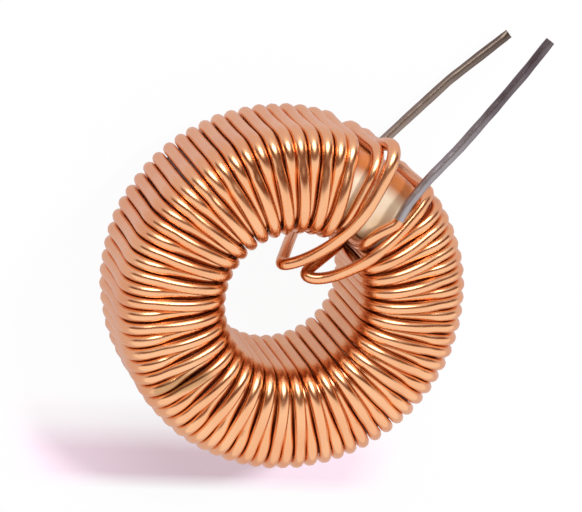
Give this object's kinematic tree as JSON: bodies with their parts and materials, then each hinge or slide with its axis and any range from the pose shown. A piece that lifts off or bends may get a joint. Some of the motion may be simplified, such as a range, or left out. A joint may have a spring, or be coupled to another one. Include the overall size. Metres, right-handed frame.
{
  "type": "toroidal inductor",
  "caption": "Ring-shaped power inductor: enamelled copper wire wound in layers round a coated powder core, its tinned wire leads leaving side by side past the rim.",
  "frame": {"origin": "centre of the hole, on the plane that the wound ring lies on", "axes": "+Z along the ring's axis, away from the surface it lies on; +X and +Y across the ring, with both leads leaving between them"},
  "size_m": [0.036, 0.036, 0.0148],
  "materials": {
    "core_coating": "pale cream baked coating on a pressed powder ring, satin",
    "enamelled_copper": null,
    "tinned_copper": "stripped and solder-dipped copper wire, dull grey"
  },
  "bodies": {
    "root": {"core": "core_coating", "winding": "enamelled_copper", "lead_start": "tinned_copper", "lead_finish": "tinned_copper"}
  },
  "joints": []
}
